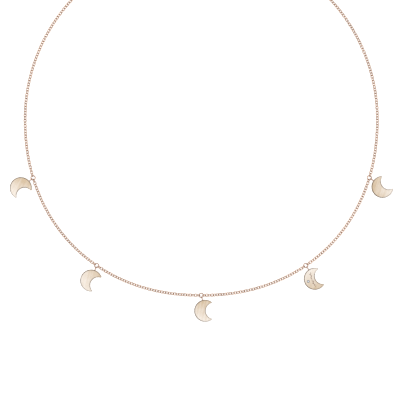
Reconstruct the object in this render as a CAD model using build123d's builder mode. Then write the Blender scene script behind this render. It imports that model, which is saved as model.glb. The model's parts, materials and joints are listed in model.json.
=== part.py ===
from build123d import *
from math import cos, degrees, hypot, radians, sin
import os

# A fine cable-chain necklace with five flat crescent-moon charms, laid out flat
# with its clasp undone. The table is z = 0 and the origin is the centre of the
# round upper half of the lay. The charms hang towards -Y and the clasp is at +Y.
# All sizes are millimetres.

# The lay: a circle above, a slightly fuller curve below.
LAY_RADIUS = 64.3
LAY_FULLNESS = 2.14        # exponent of the lower half, where 2 is a circle
CHAIN_Z = 0.55             # height of the chain's centre line

# The chain: short oval links that lean to either side in turn.
LINK_PITCH = 0.953         # from one link's contact with the next to the next contact
LINK_WIRE = 0.25
LINK_WIDTH = 1.25          # outside, across the link
PLAY = 0.05                # gap between two wires that hook each other
LEAN = 33                  # how far the links lean along the free chain, 0 lying flat
LEAN_SWAY = 7              # how far the lean varies along the free chain
SWAY_STEP = 31             # from one link to the next, 360 being one whole sway
RING_LEAN = 58             # lean of a link that hooks a flat ring
LEAN_LINKS = 6             # links that a lean takes to build up beside a ring
CONTACT_GAP = LINK_WIRE + PLAY

# Links in each stretch of chain, and how the stretches divide into runs.
INNER_RUNS = (20, 21)      # between two charms
RIGHT_OUTER_RUNS = (41, 41, 41)
LEFT_OUTER_RUNS = (38, 38, 38)

# Jump rings that carry the charms, lying flat, and the one standing up at the clasp.
RING_RADIUS = 0.8          # to the middle of the wire
RING_WIRE = 0.3
END_RING_RADIUS = 1.3
END_RING_WIRE = 0.4
CLASP_RING_Z = RING_RADIUS + RING_WIRE / 2

# The moons.
MOON_RADIUS = 4.0
MOON_THICKNESS = 1.0
BITE_RADIUS = 2.98         # the round bite that makes the disc a crescent
BITE_OFFSET = 3.15
BITE_TURN = 76             # from the direction the moon hangs in
HORN_RADIUS = 0.22
MOON_EDGE = 0.14
HANG_LENGTH = 5.85         # from a jump ring's centre to its moon's centre

# The loop soldered to each moon.
LOOP_WIRE = 0.28
LOOP_RISE = 0.33           # from the loop's middle to its upper and lower wire

# The stone set flush in one moon.
STONE_RADIUS = 0.5
STONE_TABLE = 0.29
CROWN = 0.15
GIRDLE = 0.04
PAVILION = 0.42
CULET = 0.03
STONE_FACETS = 16
STONE_POS = (-2.56, -0.1)  # along the opening direction, and across it
SEAT_GAP = 0.02

# The sprig engraved beside the stone: a bowed stem with leaves on alternate sides,
# placed like the stone.
ENGRAVED_DEPTH = 0.06
STEM_MIDDLE = -1.05
STEM_ENDS = -0.7
STEM_REACH = 2.7           # from the stem's middle across to each end
STEM_WIDTH = 0.14
LEAF_MIDDLE = -0.95
LEAF_OFFSET = 0.24         # a leaf's middle to either side of the stem
LEAF_SLANT = 40
LEAF_WIDTH = 0.14
LEAF_LENGTH = 0.62
LEAF_STEPS = (-2.1, -1.4, -0.7, 0.7, 1.4, 2.1)

# The lobster clasp, in its own plane: x forward from the centre of its eye.
CLASP_Z = 0.8
CLASP_THICKNESS = 1.6
CLASP_EDGE = 0.25
EYE_RADIUS = 0.635
EYE_WIRE = 0.43
BODY_MIDDLE = 4.1
BODY_LENGTH = 7.0
BODY_WIDTH = 4.0
MOUTH_MIDDLE = 4.95
MOUTH_LENGTH = 3.9
MOUTH_WIDTH = 2.3
# The gate closes the far side of the mouth and turns in a slot in the body.
GATE_START = 2.6
GATE_END = 6.2
GATE_LOW = 0.35
GATE_THICKNESS = 0.9
GATE_GAP = 0.05
PIVOT = (2.25, 0.95)
PIVOT_BOSS = 0.62
PIVOT_SLOT = 1.1
PIN_RADIUS = 0.2
PIN_GAP = 0.03
THUMB = (3.1, 1.85)
THUMB_RADIUS = 0.42
TAIL_WIDTH = 0.5
TAIL_LENGTH = 0.95
# The spring lies along the body behind the gate's tail.
SPRING_START = 0.98
SPRING_END = 1.97
SPRING_Y = 0.2
SPRING_RADIUS = 0.24
SPRING_WIRE = 0.1
SPRING_TURNS = 4
SPRING_INSET = 0.06        # from the pocket's ends to the middle of the wire
POCKET_RADIUS = 0.32

# Each charm: side of the necklace, how many charms out from the centre, and the
# way it hangs, in degrees from +X. The stone sits in the right inner moon.
CHARMS = {
    "left_outer": (-1, 2, -140.0),
    "left_inner": (-1, 1, -110.0),
    "centre": (1, 0, -75.5),
    "right_inner": (1, 1, -56.0),
    "right_outer": (1, 2, -34.7),
}
STONE_CHARM = "right_inner"

os.makedirs("parts", exist_ok=True)


def save(part, name):
    """Labels a piece and writes its STEP file"""
    part.label = name
    export_step(part, f"parts/{name}.step")


# ---- the lay ---------------------------------------------------------------
def lay_point(turn):
    """The point of the lay a given number of degrees round from the bottom"""
    along, across = abs(cos(radians(turn))), abs(sin(radians(turn)))
    fullness = LAY_FULLNESS if turn < 90 else 2
    radius = LAY_RADIUS / (along**fullness + across**fullness) ** (1 / fullness)
    return radius * sin(radians(turn)), -radius * cos(radians(turn))


def further(turn, chord):
    """The turn of the lay point a straight distance further round"""
    x, y = lay_point(turn)
    step = degrees(chord / LAY_RADIUS)
    for _ in range(5):
        next_x, next_y = lay_point(turn + step)
        step *= chord / hypot(next_x - x, next_y - y)
    return turn + step


def contacts(ring_turn, reach, links):
    """The turns of the contacts at the ends of a stretch of links beside a ring"""
    turns = [further(ring_turn, reach)]
    for _ in range(links):
        turns.append(further(turns[-1], LINK_PITCH))
    return turns


def between(side, turn, next_turn, height):
    """The middle of two lay points, and the unit direction from one to the next"""
    x, y = lay_point(turn)
    next_x, next_y = lay_point(next_turn)
    length = hypot(next_x - x, next_y - y)
    middle = (side * (x + next_x) / 2, (y + next_y) / 2, height)
    return middle, (side * (next_x - x) / length, (next_y - y) / length)


def link_roll(number, links):
    """How far a link of a stretch is turned over, in degrees from lying flat"""
    freedom = min(1, number / LEAN_LINKS, (links - 1 - number) / LEAN_LINKS)
    sway = freedom * LEAN_SWAY * sin(radians(SWAY_STEP * number))
    if number % 2:
        return LEAN * freedom + sway
    return sway - RING_LEAN + (RING_LEAN - LEAN) * freedom


# A ring is reached a little inside its wire, where the hooked link ends.
ring_reach = RING_RADIUS - (RING_WIRE + LINK_WIRE) / 2 - PLAY + CONTACT_GAP / 2
end_reach = END_RING_RADIUS - (END_RING_WIRE + LINK_WIRE) / 2 - PLAY + CONTACT_GAP / 2
inside_ring = RING_RADIUS - (RING_WIRE + LINK_WIRE) / 2 - PLAY
clasp_reach = (inside_ring**2 - (CLASP_RING_Z - CHAIN_Z) ** 2) ** 0.5 + CONTACT_GAP / 2

first_stretch = contacts(0, ring_reach, sum(INNER_RUNS))
inner_ring_turn = further(first_stretch[-1], ring_reach)
second_stretch = contacts(inner_ring_turn, ring_reach, sum(INNER_RUNS))
outer_ring_turn = further(second_stretch[-1], ring_reach)
right_stretch = contacts(outer_ring_turn, ring_reach, sum(RIGHT_OUTER_RUNS))
end_ring_turn = further(right_stretch[-1], end_reach)
left_stretch = contacts(outer_ring_turn, ring_reach, sum(LEFT_OUTER_RUNS))
clasp_ring_turn = further(left_stretch[-1], clasp_reach)
ring_turns = (0, inner_ring_turn, outer_ring_turn)

# ---- one link --------------------------------------------------------------
bend = (LINK_WIDTH - LINK_WIRE) / 2
straight = (LINK_PITCH + CONTACT_GAP) / 2 - bend
with BuildPart() as link:
    # Two straight sides, closed by a half round at each end
    with BuildSketch(Plane.YZ):
        with Locations((-bend, 0), (bend, 0)):
            Circle(LINK_WIRE / 2)
    extrude(amount=straight, both=True)
    for end in (-1, 1):
        with BuildSketch(Plane.YZ.offset(end * straight)):
            with Locations((-bend, 0)):
                Circle(LINK_WIRE / 2)
        turning = Axis((end * straight, 0, 0), (0, 0, end))
        revolve(axis=turning, revolution_arc=180)


def link_location(side, stretch, number):
    """Where one link of a stretch lies"""
    roll = radians(link_roll(number, len(stretch) - 1))
    middle, (ahead_x, ahead_y) = between(
        side, stretch[number], stretch[number + 1], CHAIN_Z
    )
    upright = (ahead_y * sin(roll), -ahead_x * sin(roll), cos(roll))
    return Plane(middle, x_dir=(ahead_x, ahead_y, 0), z_dir=upright).location


def save_runs(side, stretch, runs, name, first_run):
    """Makes a stretch of chain as runs of separate links"""
    start = 0
    for number, links in enumerate(runs, first_run):
        with BuildPart() as run:
            with Locations(
                *(link_location(side, stretch, start + i) for i in range(links))
            ):
                add(link.part)
        save(run.part, f"{name}_{number}")
        start += links


for side, name in ((1, "chain_right"), (-1, "chain_left")):
    outer = right_stretch if side > 0 else left_stretch
    outer_runs = RIGHT_OUTER_RUNS if side > 0 else LEFT_OUTER_RUNS
    save_runs(side, first_stretch, INNER_RUNS, name, 1)
    save_runs(side, second_stretch, INNER_RUNS, name, 3)
    save_runs(side, outer, outer_runs, name, 5)


# ---- jump rings ------------------------------------------------------------
def ring_centre(charm):
    """The middle of a charm's jump ring"""
    side, count, _ = CHARMS[charm]
    x, y = lay_point(ring_turns[count])
    return side * x, y, CHAIN_Z


for charm in CHARMS:
    with BuildPart(Plane(ring_centre(charm))) as jump_ring:
        Torus(RING_RADIUS, RING_WIRE / 2)
    save(jump_ring.part, f"jump_ring_{charm}")

end_x, end_y = lay_point(end_ring_turn)
with BuildPart(Plane((end_x, end_y, CHAIN_Z))) as end_ring:
    Torus(END_RING_RADIUS, END_RING_WIRE / 2)
save(end_ring.part, "end_ring")

_, clasp_ahead = between(-1, left_stretch[-1], clasp_ring_turn, 0)
ring_x, ring_y = lay_point(clasp_ring_turn)
upright_plane = Plane(
    (-ring_x, ring_y, CLASP_RING_Z),
    x_dir=(*clasp_ahead, 0),
    z_dir=(clasp_ahead[1], -clasp_ahead[0], 0),
)
with BuildPart(upright_plane) as clasp_ring:
    Torus(RING_RADIUS, RING_WIRE / 2)
save(clasp_ring.part, "clasp_ring")


# ---- moons and their loops -------------------------------------------------
def hang_plane(charm, distance, height):
    """A level plane on a charm's centre line, with x the way the charm hangs"""
    x, y, _ = ring_centre(charm)
    hang = radians(CHARMS[charm][2])
    return Plane(
        (x + distance * cos(hang), y + distance * sin(hang), height),
        x_dir=(cos(hang), sin(hang), 0),
        z_dir=(0, 0, 1),
    )


def opening_plane(charm, height):
    """The same plane at the moon's centre, turned so that x faces the opening"""
    return hang_plane(charm, HANG_LENGTH, height).rotated((0, 0, BITE_TURN))


for charm in CHARMS:
    face = opening_plane(charm, 0)
    with BuildPart() as moon:
        with BuildSketch(face):
            Circle(MOON_RADIUS)
            with Locations((BITE_OFFSET, 0)):
                Circle(BITE_RADIUS, mode=Mode.SUBTRACT)
            fillet(vertices(), radius=HORN_RADIUS)
        extrude(amount=MOON_THICKNESS)
        fillet(edges().group_by(Axis.Z)[-1], radius=MOON_EDGE)
        fillet(edges().group_by(Axis.Z)[0], radius=MOON_EDGE)
        if charm == STONE_CHARM:
            # A conical seat for the stone, its girdle just below the face
            seat_top = opening_plane(charm, MOON_THICKNESS)
            seat_plane = Plane(
                seat_top.from_local_coords(Vector(*STONE_POS, 0)),
                x_dir=seat_top.x_dir,
                z_dir=seat_top.z_dir,
            )
            with BuildSketch(seat_plane.offset(-2 * GIRDLE)):
                Circle(STONE_RADIUS + SEAT_GAP)
            extrude(amount=2 * GIRDLE, mode=Mode.SUBTRACT)
            with Locations(seat_plane.offset(-2 * GIRDLE - PAVILION / 2 - SEAT_GAP / 2)):
                Cone(
                    CULET + SEAT_GAP,
                    STONE_RADIUS + SEAT_GAP,
                    PAVILION + SEAT_GAP,
                    mode=Mode.SUBTRACT,
                )
            # The engraved stem, and leaves that leave it on alternate sides
            with BuildSketch(seat_top):
                with BuildLine(mode=Mode.PRIVATE) as stem:
                    ThreePointArc(
                        (STEM_ENDS, STEM_REACH), (STEM_MIDDLE, 0), (STEM_ENDS, -STEM_REACH)
                    )
                SlotArc(stem.edges()[0], STEM_WIDTH)
                for number, step in enumerate(LEAF_STEPS):
                    outward = -1 if number % 2 else 1
                    slant = 90 - LEAF_SLANT * outward
                    with Locations((LEAF_MIDDLE + outward * LEAF_OFFSET, step)):
                        SlotOverall(LEAF_LENGTH, LEAF_WIDTH, rotation=slant)
            extrude(amount=-ENGRAVED_DEPTH, mode=Mode.SUBTRACT)
    save(moon.part, f"moon_{charm}")

    # The loop passes round the ring's outer wire and ends on the moon's rim
    round_wire = RING_RADIUS - (RING_WIRE + LOOP_WIRE) / 2 - PLAY + LOOP_RISE
    into_moon = HANG_LENGTH - MOON_RADIUS / 2
    level = hang_plane(charm, round_wire, CHAIN_Z)
    across = Plane(level.origin, x_dir=level.y_dir, z_dir=level.x_dir)
    with BuildPart() as moon_loop:
        with BuildSketch(across):
            with Locations((0, LOOP_RISE), (0, -LOOP_RISE)):
                Circle(LOOP_WIRE / 2)
        extrude(amount=into_moon - round_wire)
        with BuildSketch(across):
            with Locations((0, LOOP_RISE)):
                Circle(LOOP_WIRE / 2)
        revolve(axis=Axis(level.origin, level.y_dir * -1), revolution_arc=180)
        with BuildSketch(hang_plane(charm, HANG_LENGTH, 0)):
            Circle(MOON_RADIUS)
        extrude(amount=2 * CHAIN_Z, mode=Mode.SUBTRACT)
    save(moon_loop.part, f"moon_loop_{charm}")

# ---- the stone -------------------------------------------------------------
stone_plane = seat_plane.offset(-GIRDLE)
with BuildPart() as stone:
    with BuildSketch(stone_plane.offset(-GIRDLE)):
        RegularPolygon(STONE_RADIUS, STONE_FACETS)
    extrude(amount=GIRDLE)
    with BuildSketch(stone_plane):
        RegularPolygon(STONE_RADIUS, STONE_FACETS)
    with BuildSketch(stone_plane.offset(CROWN)):
        RegularPolygon(STONE_TABLE, STONE_FACETS)
    loft()
    with BuildSketch(stone_plane.offset(-GIRDLE)):
        RegularPolygon(STONE_RADIUS, STONE_FACETS)
    with BuildSketch(stone_plane.offset(-GIRDLE - PAVILION)):
        RegularPolygon(CULET, STONE_FACETS)
    loft()
save(stone.part, "stone")

# ---- the clasp -------------------------------------------------------------
eye_in_ring = RING_RADIUS - (RING_WIRE + EYE_WIRE) / 2 - PLAY
eye_reach = (eye_in_ring**2 - (CLASP_RING_Z - CLASP_Z) ** 2) ** 0.5 + EYE_RADIUS
clasp_plane = Plane(
    (
        upright_plane.origin.X + eye_reach * clasp_ahead[0],
        upright_plane.origin.Y + eye_reach * clasp_ahead[1],
        CLASP_Z,
    ),
    x_dir=(*clasp_ahead, 0),
    z_dir=(0, 0, 1),
)


def band():
    """Draws the clasp's outline, its mouth left open"""
    with Locations((BODY_MIDDLE, 0)):
        Ellipse(BODY_LENGTH / 2, BODY_WIDTH / 2)
    with Locations((MOUTH_MIDDLE, 0)):
        Ellipse(MOUTH_LENGTH / 2, MOUTH_WIDTH / 2, mode=Mode.SUBTRACT)


def clasp_level(height):
    """The clasp's plane moved up or down from the middle of its thickness"""
    return clasp_plane.offset(height)


with BuildPart() as clasp_body:
    with BuildSketch(clasp_level(-CLASP_THICKNESS / 2)):
        band()
    extrude(amount=CLASP_THICKNESS)
    fillet(edges().group_by(Axis.Z)[-1], radius=CLASP_EDGE)
    fillet(edges().group_by(Axis.Z)[0], radius=CLASP_EDGE)
    # The opening that the gate closes, and the slot it turns in
    with BuildSketch(clasp_level(-CLASP_THICKNESS / 2)):
        with Locations(((GATE_START + GATE_END) / 2, GATE_LOW + BODY_WIDTH / 2)):
            Rectangle(GATE_END - GATE_START, BODY_WIDTH)
    extrude(amount=CLASP_THICKNESS, mode=Mode.SUBTRACT)
    with BuildSketch(clasp_level(-GATE_THICKNESS / 2 - GATE_GAP)):
        with Locations(PIVOT):
            Circle(PIVOT_SLOT)
    extrude(amount=GATE_THICKNESS + 2 * GATE_GAP, mode=Mode.SUBTRACT)
    # The rivet hole, the spring's pocket and the eye
    with BuildSketch(clasp_level(-CLASP_THICKNESS / 2)):
        with Locations(PIVOT):
            Circle(PIN_RADIUS)
    extrude(amount=CLASP_THICKNESS, mode=Mode.SUBTRACT)
    pocket_plane = Plane(
        clasp_plane.from_local_coords(Vector(SPRING_START, SPRING_Y, 0)),
        z_dir=clasp_plane.x_dir,
    )
    with BuildSketch(pocket_plane):
        Circle(POCKET_RADIUS)
    extrude(amount=SPRING_END - SPRING_START, mode=Mode.SUBTRACT)
    with Locations(clasp_plane):
        Torus(EYE_RADIUS, EYE_WIRE / 2)
save(clasp_body.part, "clasp_body")

with BuildPart() as clasp_gate:
    with BuildSketch(clasp_level(-GATE_THICKNESS / 2)):
        band()
        with Locations(((GATE_START + GATE_END) / 2, GATE_LOW + BODY_WIDTH / 2)):
            Rectangle(
                GATE_END - GATE_START - 2 * GATE_GAP, BODY_WIDTH, mode=Mode.INTERSECT
            )
        with Locations(THUMB):
            Circle(THUMB_RADIUS)
        with Locations(PIVOT):
            Circle(PIVOT_BOSS)
        with Locations((PIVOT[0], PIVOT[1] - TAIL_LENGTH / 2)):
            Rectangle(TAIL_WIDTH, TAIL_LENGTH)
        with Locations(PIVOT):
            Circle(PIN_RADIUS + PIN_GAP, mode=Mode.SUBTRACT)
    extrude(amount=GATE_THICKNESS)
save(clasp_gate.part, "clasp_gate")

with BuildPart() as clasp_rivet:
    with BuildSketch(clasp_level(-CLASP_THICKNESS / 2)):
        with Locations(PIVOT):
            Circle(PIN_RADIUS)
    extrude(amount=CLASP_THICKNESS)
save(clasp_rivet.part, "clasp_rivet")

# The coil starts and ends a little inside the pocket, clear of the gate's tail
coil_length = SPRING_END - SPRING_START - 2 * SPRING_INSET
coil_start = pocket_plane.offset(SPRING_INSET).origin
with BuildPart() as clasp_spring:
    with BuildLine() as coil:
        Helix(
            coil_length / SPRING_TURNS,
            coil_length,
            SPRING_RADIUS,
            center=coil_start,
            direction=pocket_plane.z_dir,
        )
    with BuildSketch(Plane(coil.wires()[0] @ 0, z_dir=coil.wires()[0] % 0)):
        Circle(SPRING_WIRE / 2)
    sweep(path=coil.wires()[0], is_frenet=True)
save(clasp_spring.part, "clasp_spring")
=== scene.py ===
import json
import math

import bpy
import numpy as np
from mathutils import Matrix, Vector


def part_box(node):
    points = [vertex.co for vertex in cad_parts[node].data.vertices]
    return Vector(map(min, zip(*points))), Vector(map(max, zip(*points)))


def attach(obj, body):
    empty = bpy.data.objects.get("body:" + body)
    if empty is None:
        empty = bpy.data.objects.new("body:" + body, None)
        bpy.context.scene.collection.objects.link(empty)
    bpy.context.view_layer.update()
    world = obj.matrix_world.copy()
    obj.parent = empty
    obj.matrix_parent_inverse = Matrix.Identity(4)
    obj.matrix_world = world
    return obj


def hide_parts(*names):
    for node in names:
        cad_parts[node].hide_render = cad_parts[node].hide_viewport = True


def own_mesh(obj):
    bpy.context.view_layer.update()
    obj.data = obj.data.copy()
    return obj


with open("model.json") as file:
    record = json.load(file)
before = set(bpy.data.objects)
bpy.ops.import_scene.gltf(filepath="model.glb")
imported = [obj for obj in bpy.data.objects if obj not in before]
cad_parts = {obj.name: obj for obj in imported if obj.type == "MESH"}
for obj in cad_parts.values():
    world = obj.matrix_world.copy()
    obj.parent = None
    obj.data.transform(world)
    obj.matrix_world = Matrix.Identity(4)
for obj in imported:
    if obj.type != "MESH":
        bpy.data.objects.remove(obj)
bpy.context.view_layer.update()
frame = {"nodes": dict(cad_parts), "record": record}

MM = 0.001

# The part of the table that the camera sees, from straight above
VIEW_CENTRE = (-0.44 * MM, -29.5 * MM)
VIEW_WIDTH = 146.1 * MM
CAMERA_HEIGHT = 1.2
CAMERA_REACH = 20
SENSOR = 36.0

# Colours, linear
ROSE_GOLD = (0.76, 0.50, 0.335)
ROSE_GOLD_DEEP = (0.50, 0.28, 0.17)
RING_GOLD = (0.58, 0.31, 0.18)
RING_GOLD_DEEP = (0.35, 0.16, 0.08)
# The moons' painted light: the colour of their shaded, warm side and of their lit, pale side
MOON_LIT_PALE = (1.0, 0.935, 0.865)
MOON_SHADED_WARM = (0.73, 0.575, 0.40)
# Painted shade at the moons' rims
MOON_RIM_SHADE = (0.13, 0.075, 0.035)
# Painted shade in the moons' creases
MOON_CREASE_SHADE = (0.22, 0.10, 0.05)
# The ends of the stone's painted facet shading
STONE_LIT_FACET = (0.99, 0.995, 1.0)
STONE_SHADED_FACET = (0.70, 0.80, 0.92)
STEEL = (0.55, 0.56, 0.58)
BOARD_DARK = (0.86, 0.86, 0.86)
BOARD_LIGHT = (0.9, 0.9, 0.9)
SKY_LOW = (0.33, 0.305, 0.29)
SKY_HIGH = (0.97, 0.965, 0.955)
WHITE = (1.0, 1.0, 1.0)

# A moon's outline: a disc that hangs HANG_LENGTH from its ring's centre, with a round bite
MOON_RADIUS = 4.0 * MM
BITE_RADIUS = 2.98 * MM
BITE_OFFSET = 3.15 * MM
HANG_LENGTH = 5.85 * MM

# The heights over which a moon's upright side ends, and over which its top face begins
SIDE_ENDS = (0.80 * MM, 0.87 * MM)
FACE_BEGINS = (0.99 * MM, 0.97 * MM)

# A moon's rims of painted shade: their width, the softness of their edge, and the way the outer
# one's painted shade is darkest, in degrees from the way the moon hangs
RIM = 0.32 * MM
RIM_FADE = 0.1 * MM
RIM_SHADE_TURN = 250

# For each moon, in degrees from +X: the way it hangs from its ring, the way it opens,
# the way its brush lines run and the way its painted light gets paler
MOON_TURNS = {
    "left_outer": (-140.0, -64.0, 60, 242),
    "left_inner": (-110.0, -34.0, 75, 195),
    "centre": (-75.5, 0.5, 80, 254),
    "right_inner": (-56.0, 20.0, 70, 117),
    "right_outer": (-34.7, 41.3, 70, 4),
}

# How often brush lines change in a metre: along them, across them and down through the metal
FINE_BRUSH = (400, 9000, 4000)
BROAD_BRUSH = (120, 1700, 900)

STONE_FACETS = 16
# Wire is a round ring, not an oval link, when its length and width differ by less than this share
ROUND_SHARE = 0.05

FLOOR_SIZE = 12
FLOOR_DROP = 0.02 * MM
# The light that the floor gives off, which only the camera sees
FLOOR_GLOW = 0.66
# The sky gets brighter between these two heights of a direction's Z
SKY_FADE = (0.5, 0.9)

body_of = {
    node: body
    for body, nodes in frame["record"]["behaviour"]["bodies"].items()
    for node in nodes
}


# ---- node material helpers ---------------------------------------------------
def new_material(name):
    """An empty principled material, its node tree and its shader"""
    material = bpy.data.materials.new(name)
    material.use_nodes = True
    tree = material.node_tree
    shader = next(n for n in tree.nodes if n.type == "BSDF_PRINCIPLED")
    return material, tree, shader


def add_node(tree, kind, **values):
    """A node with its properties and plain inputs set"""
    node = tree.nodes.new(kind)
    for key, value in values.items():
        if key in node.inputs:
            node.inputs[key].default_value = value
        else:
            setattr(node, key, value)
    return node


def own_point(tree):
    """Each point in the piece's own coordinates"""
    return add_node(tree, "ShaderNodeTexCoord").outputs["Object"]


def with_triple(tree, operation, vector, triple):
    """A vector and three numbers put together by a vector math node"""
    node = add_node(tree, "ShaderNodeVectorMath", operation=operation)
    tree.links.new(vector, node.inputs[0])
    node.inputs[1].default_value = triple
    return node.outputs["Vector"]


def split(tree, vector):
    """A vector's X, Y and Z"""
    node = add_node(tree, "ShaderNodeSeparateXYZ")
    tree.links.new(vector, node.inputs["Vector"])
    return node.outputs["X"], node.outputs["Y"], node.outputs["Z"]


def coordinates(tree, scale=(1, 1, 1), turn=0.0):
    """The piece's own coordinates, turned about Z and then scaled"""
    turned = add_node(tree, "ShaderNodeVectorRotate", rotation_type="Z_AXIS")
    turned.inputs["Angle"].default_value = -math.radians(turn)
    tree.links.new(own_point(tree), turned.inputs["Vector"])
    return with_triple(tree, "MULTIPLY", turned.outputs["Vector"], scale)


def noise(tree, vector, scale=1.0, detail=2.0, roughness=0.5):
    """The value of a noise texture read at a vector"""
    node = add_node(tree, "ShaderNodeTexNoise")
    node.inputs["Scale"].default_value = scale
    node.inputs["Detail"].default_value = detail
    node.inputs["Roughness"].default_value = roughness
    tree.links.new(vector, node.inputs["Vector"])
    return node.outputs["Fac"]


def spread(tree, value, low, high, new_low=0.0, new_high=1.0):
    """A value carried from one range to another, kept inside it"""
    node = add_node(tree, "ShaderNodeMapRange")
    node.inputs["From Min"].default_value = low
    node.inputs["From Max"].default_value = high
    node.inputs["To Min"].default_value = new_low
    node.inputs["To Max"].default_value = new_high
    tree.links.new(value, node.inputs["Value"])
    return node.outputs["Result"]


def combine(tree, operation, a, b):
    """Two values, or a value and a number, put together by a math node"""
    node = add_node(tree, "ShaderNodeMath", operation=operation)
    for socket, value in zip(node.inputs, (a, b)):
        if isinstance(value, (int, float)):
            socket.default_value = value
        else:
            tree.links.new(value, socket)
    return node.outputs["Value"]


def mix_colours(tree, factor, a, b):
    """A colour between two colours, each a tuple or a socket"""
    node = add_node(tree, "ShaderNodeMix", data_type="RGBA")
    tree.links.new(factor, node.inputs["Factor"])
    # A Mix node has a set of sockets for each data type: these three are the colours'
    for socket, value in ((node.inputs[6], a), (node.inputs[7], b)):
        if isinstance(value, tuple):
            socket.default_value = (*value, 1)
        else:
            tree.links.new(value, socket)
    return node.outputs[2]


def bump(tree, shader, height, strength, distance):
    """Feeds a height into the shader's normal"""
    node = add_node(tree, "ShaderNodeBump")
    node.inputs["Strength"].default_value = strength
    node.inputs["Distance"].default_value = distance
    tree.links.new(height, node.inputs["Height"])
    tree.links.new(node.outputs["Normal"], shader.inputs["Normal"])


# ---- materials -----------------------------------------------------------------
def polished_gold(name, light, deep, gloss):
    """Polished rose gold with tumbling marks and a little tarnish"""
    material, tree, shader = new_material(name)
    vector = coordinates(tree)
    clouds = noise(tree, vector, scale=900, detail=3)
    marks = noise(tree, vector, scale=9000, detail=4, roughness=0.65)
    tarnish = spread(tree, clouds, 0.42, 0.75, new_high=0.6)
    tree.links.new(mix_colours(tree, tarnish, light, deep), shader.inputs["Base Color"])
    scuffed = spread(tree, marks, 0.3, 0.7, new_low=gloss, new_high=gloss + 0.14)
    tree.links.new(scuffed, shader.inputs["Roughness"])
    shader.inputs["Metallic"].default_value = 1
    bump(tree, shader, marks, strength=0.25, distance=0.02 * MM)
    return material


def distance_from(tree, place):
    """How far each point is from an upright line through a place"""
    away = with_triple(tree, "SUBTRACT", own_point(tree), (place[0], place[1], 0))
    level = with_triple(tree, "MULTIPLY", away, (1, 1, 0))
    length = add_node(tree, "ShaderNodeVectorMath", operation="LENGTH")
    tree.links.new(level, length.inputs[0])
    return length.outputs["Value"]


def moved(place, turn, distance):
    """A place moved level in a direction given in degrees from +X"""
    angle = math.radians(turn)
    return place[0] + distance * math.cos(angle), place[1] + distance * math.sin(angle)


def across(tree, centre, turn, radius):
    """How far each point lies in a direction, from 0 at one side of a disc to 1 at the other

    It is measured from a far place that way, where circles are nearly straight lines."""
    far = 10 * radius
    away = distance_from(tree, moved(centre, turn, far))
    return spread(tree, away, far + radius, far - radius)


def outer_rim_shade(tree, centre, hang_turn):
    """Painted shade: about 1 in a moon's outer rim where it is darkest, less on its other side,
    else 0
    """
    rim_start = MOON_RADIUS - RIM
    at_edge = spread(tree, distance_from(tree, centre), rim_start, rim_start + RIM_FADE)
    shaded_side = across(tree, centre, hang_turn + RIM_SHADE_TURN, MOON_RADIUS)
    shade_strength = spread(tree, shaded_side, 0.2, 0.8, new_low=0.35, new_high=1.1)
    return combine(tree, "MULTIPLY", at_edge, shade_strength)


def inner_rim_shade(tree, bite, open_turn):
    """Painted shade: up to 0.8 in the rim of a moon's bite, deep inside it, less at the horns,
    else 0
    """
    rim_end = BITE_RADIUS + RIM
    at_edge = spread(tree, distance_from(tree, bite), rim_end, rim_end - RIM_FADE)
    deep_in_bite = across(tree, bite, open_turn + 180, BITE_RADIUS)
    shade_strength = spread(tree, deep_in_bite, 0.6, 1.0, new_low=0.1, new_high=0.8)
    return combine(tree, "MULTIPLY", at_edge, shade_strength)


def satin_moon(name, ring, hang_turn, open_turn, brush_turn, painted_light_turn):
    """Pale satin gold: brush lines, painted light that makes it paler to one side, painted shade
    in creases and at the rim
    """
    material, tree, shader = new_material(name)
    centre = moved(ring, hang_turn, HANG_LENGTH)
    bite = moved(centre, open_turn, BITE_OFFSET)

    fine = noise(tree, coordinates(tree, FINE_BRUSH, brush_turn), detail=5, roughness=0.6)
    broad = noise(tree, coordinates(tree, BROAD_BRUSH, brush_turn), detail=3)
    clouds = noise(tree, coordinates(tree), scale=420)

    # Painted light: from warm to pale across the disc, broken up by clouds and brush lines
    shade = across(tree, centre, painted_light_turn, MOON_RADIUS)
    cloudy = spread(tree, clouds, 0.3, 0.7, new_low=-0.1, new_high=0.1)
    shade = combine(tree, "ADD", shade, cloudy)
    streaky = spread(tree, broad, 0.35, 0.65, new_low=-0.15, new_high=0.15)
    shade = combine(tree, "ADD", shade, streaky)
    colour = mix_colours(tree, spread(tree, shade, 0.0, 1.0), MOON_SHADED_WARM, MOON_LIT_PALE)

    # Painted shade, brown, in everything between the top of the upright side and the top face,
    # such as the engraving and the stone's seat
    _, _, height = split(tree, own_point(tree))
    above_side = spread(tree, height, *SIDE_ENDS)
    below_face = spread(tree, height, *FACE_BEGINS)
    crease_shade = combine(tree, "MULTIPLY", below_face, above_side)
    colour = mix_colours(tree, crease_shade, colour, MOON_CREASE_SHADE)

    # Painted shade at the rims, uneven
    outer = outer_rim_shade(tree, centre, hang_turn)
    inner = inner_rim_shade(tree, bite, open_turn)
    rim = combine(tree, "MULTIPLY", combine(tree, "MAXIMUM", outer, inner), above_side)
    uneven = spread(tree, clouds, 0.35, 0.6, new_low=0.75)
    rim = combine(tree, "MULTIPLY", rim, uneven)
    colour = mix_colours(tree, rim, colour, MOON_RIM_SHADE)
    tree.links.new(colour, shader.inputs["Base Color"])

    shader.inputs["Metallic"].default_value = 1
    brushed = spread(tree, fine, 0.3, 0.7, new_low=0.27, new_high=0.45)
    tree.links.new(brushed, shader.inputs["Roughness"])
    relief = combine(tree, "ADD", fine, combine(tree, "MULTIPLY", broad, 0.6))
    bump(tree, shader, relief, strength=0.35, distance=0.02 * MM)
    return material


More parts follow.
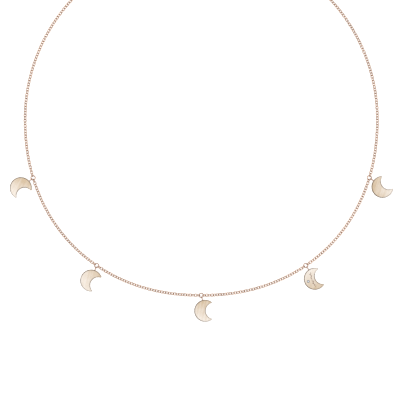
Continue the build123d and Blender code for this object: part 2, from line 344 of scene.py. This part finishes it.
def drawn_steel(name):
    """Grey spring wire with drawing lines"""
    material, tree, shader = new_material(name)
    lines = noise(tree, coordinates(tree, (3000, 12000, 12000)), detail=4)
    dull = spread(tree, lines, 0.3, 0.7, new_low=0.2, new_high=0.4)
    tree.links.new(dull, shader.inputs["Roughness"])
    shader.inputs["Base Color"].default_value = (*STEEL, 1)
    shader.inputs["Metallic"].default_value = 1
    bump(tree, shader, lines, strength=0.2, distance=0.01 * MM)
    return material


def clear_stone(name, place):
    """A clear, highly refracting stone: painted facet shading all round it and faint inner clouds
    """
    material, tree, shader = new_material(name)
    from_middle = with_triple(tree, "SUBTRACT", own_point(tree), place)
    x, y, _ = split(tree, from_middle)
    half_facet = math.pi / STONE_FACETS
    fold = combine(tree, "PINGPONG", combine(tree, "ARCTAN2", y, x), half_facet)
    clouds = noise(tree, coordinates(tree), scale=2500, detail=3)
    # Painted light: lighter and darker in turn around the stone, facet by facet, mixed with faint
    # inner clouds
    shade = combine(tree, "ADD", spread(tree, fold, 0, half_facet, new_high=0.8), clouds)
    colour = mix_colours(tree, spread(tree, shade, 0.4, 1.1), STONE_LIT_FACET, STONE_SHADED_FACET)
    tree.links.new(colour, shader.inputs["Base Color"])
    shader.inputs["Roughness"].default_value = 0.04
    shader.inputs["IOR"].default_value = 2.0
    shader.inputs["Metallic"].default_value = 0.85
    shader.inputs["Transmission Weight"].default_value = 0.5
    bump(tree, shader, fold, strength=0.6, distance=0.05 * MM)
    return material


def studio_floor(name):
    """Matte white board with a faint tooth, so bright to the camera that it is white"""
    material, tree, shader = new_material(name)
    tooth = noise(tree, coordinates(tree), scale=700, detail=4)
    colour = mix_colours(tree, tooth, BOARD_DARK, BOARD_LIGHT)
    tree.links.new(colour, shader.inputs["Base Color"])
    shader.inputs["Roughness"].default_value = 0.9
    shader.inputs["Emission Color"].default_value = (*WHITE, 1)
    path = add_node(tree, "ShaderNodeLightPath")
    glow = combine(tree, "MULTIPLY", path.outputs["Is Camera Ray"], FLOOR_GLOW)
    tree.links.new(glow, shader.inputs["Emission Strength"])
    return material


# ---- shapes ----------------------------------------------------------------------
def islands(node):
    """The separate solids of a CAD node, each as an array of its points"""
    mesh = node.data
    points = np.empty(len(mesh.vertices) * 3)
    mesh.vertices.foreach_get("co", points)
    points = points.reshape(-1, 3)
    # Points in the same place are one point, and points joined by edges are one solid
    places, welded = np.unique(np.round(points, 8), axis=0, return_inverse=True)
    welded = welded.reshape(-1)
    edges = np.empty(len(mesh.edges) * 2, int)
    mesh.edges.foreach_get("vertices", edges)
    edges = welded[edges].reshape(-1, 2)
    group = np.arange(len(places))
    while True:
        lowest = group.copy()
        np.minimum.at(lowest, edges[:, 0], group[edges[:, 1]])
        np.minimum.at(lowest, edges[:, 1], group[edges[:, 0]])
        lowest = lowest[lowest]
        if (lowest == group).all():
            break
        group = lowest
    return [places[group == label] for label in np.unique(group)]


def own_frame(points):
    """A flat solid's centre, its axes from longest to shortest, and its half sizes"""
    _, _, axes = np.linalg.svd(points - points.mean(0), full_matrices=False)
    axes[2] = np.cross(axes[0], axes[1])
    along = points @ axes.T
    low, high = along.min(0), along.max(0)
    centre = ((low + high) / 2) @ axes
    return centre, axes, (high - low) / 2


def tube(path, wire, around=12):
    """Points and faces of a closed round tube along a closed flat path"""
    ahead = np.roll(path, -1, 0) - np.roll(path, 1, 0)
    ahead /= np.linalg.norm(ahead, axis=1)[:, None]
    out = np.stack([ahead[:, 1], -ahead[:, 0], np.zeros(len(path))], 1)
    up = np.array([0.0, 0.0, 1.0])
    turns = np.arange(around) * 2 * math.pi / around
    rings = (
        path[:, None]
        + wire * np.cos(turns)[None, :, None] * out[:, None]
        + wire * np.sin(turns)[None, :, None] * up
    )
    steps, spots = np.meshgrid(np.arange(len(path)), np.arange(around), indexing="ij")
    next_step, next_spot = (steps + 1) % len(path), (spots + 1) % around
    faces = np.stack(
        [
            steps * around + spots,
            next_step * around + spots,
            next_step * around + next_spot,
            steps * around + next_spot,
        ],
        -1,
    )
    return rings.reshape(-1, 3), faces.reshape(-1, 4)


def oval_path(half_length, half_width, bend_steps=11):
    """The middle line of an oval link, anticlockwise"""
    turns = np.linspace(-math.pi / 2, math.pi / 2, bend_steps)
    straight = half_length - half_width
    x = half_width * np.cos(turns)
    y = half_width * np.sin(turns)
    right = np.stack([straight + x, y, 0 * x], 1)
    left = np.stack([-straight - x, -y, 0 * x], 1)
    return np.concatenate([right, left])


def circle_path(radius, steps=56):
    """A circle, anticlockwise"""
    turns = np.arange(steps) * 2 * math.pi / steps
    return np.stack([radius * np.cos(turns), radius * np.sin(turns), 0 * turns], 1)


def show_as(mesh, material, node_name):
    """Makes a smooth piece that stands for a CAD node and rides on its body"""
    mesh.polygons.foreach_set("use_smooth", [True] * len(mesh.polygons))
    mesh.materials.clear()
    mesh.materials.append(material)
    piece = bpy.data.objects.new(f"fine_{node_name}", mesh)
    bpy.context.scene.collection.objects.link(piece)
    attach(piece, body_of[node_name])
    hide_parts(node_name)
    return piece


def rounded_wires(node_name, material):
    """Rebuilds the wire rings or links of a CAD node as fine round tubes"""
    all_points, all_faces, count = [], [], 0
    for solid in islands(frame["nodes"][node_name]):
        centre, axes, half = own_frame(solid)
        wire = half[2]
        if half[0] - half[1] < ROUND_SHARE * half[0]:
            path = circle_path((half[0] + half[1]) / 2 - wire)
        else:
            path = oval_path(half[0] - wire, half[1] - wire)
        points, faces = tube(path, wire)
        all_points.append(points @ axes + centre)
        all_faces.append(faces + count)
        count += len(points)
    mesh = bpy.data.meshes.new(f"fine_{node_name}")
    mesh.from_pydata(
        np.concatenate(all_points).tolist(), [], np.concatenate(all_faces).tolist()
    )
    show_as(mesh, material, node_name)


def pressed_spring(node_name, material):
    """Shows a spring as its own copy of its CAD node's mesh"""
    node = frame["nodes"][node_name]
    centre, axes, half = own_frame(islands(node)[0])
    piece = show_as(node.data.copy(), material, node_name)
    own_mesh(piece)


def middle_of(node_name):
    """The middle of a CAD node's box"""
    low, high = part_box(node_name)
    return (low + high) / 2


def dress(node_name, material):
    """Gives a CAD node its material"""
    node = frame["nodes"][node_name]
    node.data.materials.clear()
    node.data.materials.append(material)


# ---- the necklace ------------------------------------------------------------------
chain_gold = polished_gold("rose_gold_chain", ROSE_GOLD, ROSE_GOLD_DEEP, gloss=0.16)
ring_gold = polished_gold("rose_gold_rings", RING_GOLD, RING_GOLD_DEEP, gloss=0.12)
clasp_gold = polished_gold("rose_gold_clasp", ROSE_GOLD, ROSE_GOLD_DEEP, gloss=0.18)
steel = drawn_steel("spring_steel")
stone = clear_stone("clear_stone", middle_of("stone"))

for name in sorted(frame["nodes"]):
    if name.startswith("chain_"):
        rounded_wires(name, chain_gold)
    elif name.startswith("jump_ring_") or name in ("end_ring", "clasp_ring"):
        rounded_wires(name, ring_gold)
    elif name.startswith("moon_loop_"):
        dress(name, ring_gold)
    elif name.startswith("moon_"):
        charm = name.removeprefix("moon_")
        ring = middle_of(f"jump_ring_{charm}")
        dress(name, satin_moon(f"satin_{name}", ring, *MOON_TURNS[charm]))
    elif name == "stone":
        dress(name, stone)
    elif name == "clasp_spring":
        pressed_spring(name, steel)
    else:
        dress(name, clasp_gold)


# ---- studio ----------------------------------------------------------------------------
def build_floor():
    """A large white board just under the necklace"""
    bpy.ops.mesh.primitive_plane_add(size=FLOOR_SIZE, location=(0, 0, -FLOOR_DROP))
    floor = bpy.context.object
    floor.name = "floor"
    floor.data.materials.append(studio_floor("white_board"))


def build_sky():
    """A bright dome, darker towards the horizon, so that round metal shows its form

    The camera itself sees it white."""
    world = bpy.data.worlds.new("studio")
    bpy.context.scene.world = world
    world.use_nodes = True
    tree = world.node_tree
    background = next(n for n in tree.nodes if n.type == "BACKGROUND")
    coords = add_node(tree, "ShaderNodeTexCoord")
    _, _, height = split(tree, coords.outputs["Generated"])
    colour = mix_colours(tree, spread(tree, height, *SKY_FADE), SKY_LOW, SKY_HIGH)
    path = add_node(tree, "ShaderNodeLightPath")
    colour = mix_colours(tree, path.outputs["Is Camera Ray"], colour, WHITE)
    tree.links.new(colour, background.inputs["Color"])
    background.inputs["Strength"].default_value = 1.0


def softbox(name, place, target, size, power):
    """A square area light that looks at a point, its size in metres and its power in watts"""
    light = bpy.data.lights.new(name, "AREA")
    light.size = size
    light.energy = power
    box = bpy.data.objects.new(name, light)
    box.location = place
    box.rotation_euler = (Vector(target) - Vector(place)).to_track_quat("-Z", "Y").to_euler()
    bpy.context.scene.collection.objects.link(box)


def build_camera():
    """A camera that looks straight down at the table"""
    camera_data = bpy.data.cameras.new("camera")
    camera_data.sensor_width = SENSOR
    camera_data.lens = SENSOR * CAMERA_HEIGHT / VIEW_WIDTH
    camera_data.clip_end = CAMERA_REACH
    camera = bpy.data.objects.new("camera", camera_data)
    camera.location = (*VIEW_CENTRE, CAMERA_HEIGHT)
    bpy.context.scene.collection.objects.link(camera)
    bpy.context.scene.camera = camera


view_middle = (*VIEW_CENTRE, 0)
build_floor()
build_sky()
softbox("key", place=(-0.6, 0.5, 0.9), target=view_middle, size=0.6, power=2.4)
softbox("fill", place=(0.8, -0.5, 0.8), target=view_middle, size=0.8, power=1.2)
build_camera()

bpy.context.scene.view_settings.view_transform = "Standard"
# The links are about as small as the grain that denoising would smooth away
bpy.context.scene.cycles.use_denoising = False
